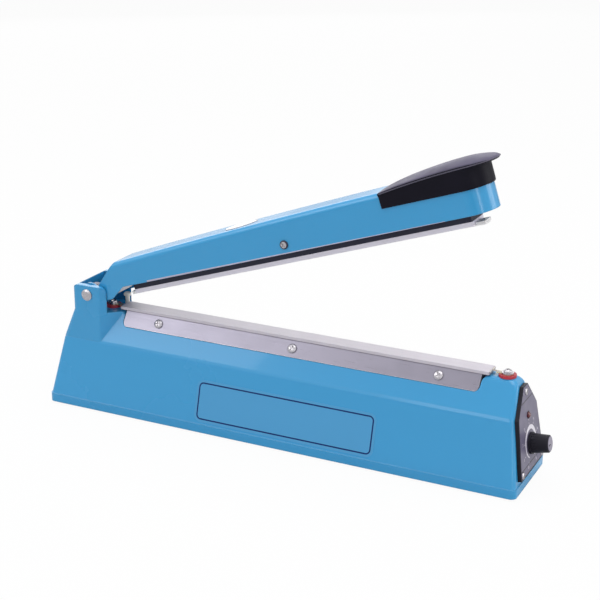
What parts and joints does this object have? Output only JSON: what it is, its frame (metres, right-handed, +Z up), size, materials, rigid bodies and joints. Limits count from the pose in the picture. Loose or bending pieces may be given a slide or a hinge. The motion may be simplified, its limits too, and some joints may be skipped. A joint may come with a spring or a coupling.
{
  "type": "impulse heat sealer",
  "caption": "Hand impulse heat sealer: blue wedge-shaped base, raised hinged arm with black grip, sealing bed between clamp strips, end panel with timer knob.",
  "frame": {"origin": "middle of the machine's footprint, on the plane its rubber feet stand on", "axes": "+X along the base from the hinge to the timer knob, +Y to the back, +Z up"},
  "size_m": [0.4402, 0.0764, 0.259],
  "materials": {
    "blue_paint": "smooth gloss enamel over metal",
    "bare_aluminium": "extruded, lightly brushed lengthwise",
    "plated_steel": "zinc plated",
    "spring_steel": "drawn wire",
    "ribbon_alloy": "rolled resistance ribbon",
    "lug_brass": "pressed sheet",
    "core_iron": "varnished stack of laminations",
    "coil_wrap": "wound coil under clear tape",
    "green_board": "lacquered circuit board",
    "black_plastic": "fine moulded grain",
    "grip_plastic": "soft moulded grain",
    "grey_plastic": "satin disc",
    "white_plastic": "natural moulding",
    "red_fibre": "pressed vulcanised fibre",
    "red_lens": "translucent lens",
    "glass_cloth": "woven adhesive tape",
    "ptfe_cloth": "coated glass cloth",
    "silicone": "moulded silicone strip",
    "black_rubber": "moulded rubber"
  },
  "bodies": {
    "base": {"base_shell": "blue_paint", "bottom_plate": "plated_steel", "rubber_feet": "black_rubber", "foot_screws": "plated_steel", "hinge_pin": "plated_steel", "hinge_pin_caps": "plated_steel", "heat_bar": "bare_aluminium", "insulating_tape": "glass_cloth", "heating_ribbon": "ribbon_alloy", "ptfe_cloth": "ptfe_cloth", "front_clamp_strip": "bare_aluminium", "rear_clamp_strip": "bare_aluminium", "clamp_strip_screws": "plated_steel", "fibre_washers": "red_fibre", "ribbon_lugs": "lug_brass", "terminal_washers": "plated_steel", "terminal_screws": "plated_steel", "control_panel": "black_plastic", "panel_screws": "plated_steel", "indicator_lamp": "red_lens", "potentiometer": "plated_steel", "panel_nut": "plated_steel", "timer_board": "green_board", "board_components": "black_plastic", "transformer_core": "core_iron", "transformer_coil": "coil_wrap", "transformer_bracket": "plated_steel", "bracket_screws": "plated_steel", "micro_switch": "black_plastic", "cord_grommet": "black_rubber", "return_spring": "spring_steel"},
    "plunger": {"switch_plunger": "white_plastic"},
    "knob": {"timer_knob": "black_plastic", "knob_cap": "grey_plastic", "potentiometer_shaft": "plated_steel"},
    "arm": {"arm_channel": "blue_paint", "hinge_bush": "plated_steel", "striker_bar": "plated_steel", "handle_grip": "grip_plastic", "handle_screws": "plated_steel", "bar_pivot_screw": "plated_steel", "pivot_nut": "plated_steel"},
    "pressure_bar": {"bar_holder": "black_plastic", "pressure_bar": "bare_aluminium", "silicone_strip": "silicone"}
  },
  "joints": [
    {"name": "arm_hinge", "type": "hinge", "parent": "base", "child": "arm", "pos_m": [-0.18558, 0, 0.101], "axis": [0, 1, 0], "range_deg": [0, 18.4], "stiffness_Nm_per_rad": 2.5, "springref_deg": -40.11, "deforming": ["return_spring"]},
    {"name": "pressure_bar_rock", "type": "hinge", "parent": "arm", "child": "pressure_bar", "pos_m": [-0.00057, 0, 0.16992], "axis": [0, 1, 0], "range_deg": [-0.3, 0.3]},
    {"name": "knob_turn", "type": "hinge", "parent": "base", "child": "knob", "pos_m": [0.20046, 0, 0.03365], "axis": [0.989, 0, 0.1478], "range_deg": [-150, 150]},
    {"name": "plunger_slide", "type": "slide", "parent": "base", "child": "plunger", "axis": [0, 0, -1], "range_m": [0, 0.0015]}
  ],
  "couplings": [
    {"joint": "plunger_slide", "follows": "arm_hinge", "m_per_rad": 0.0046708}
  ]
}
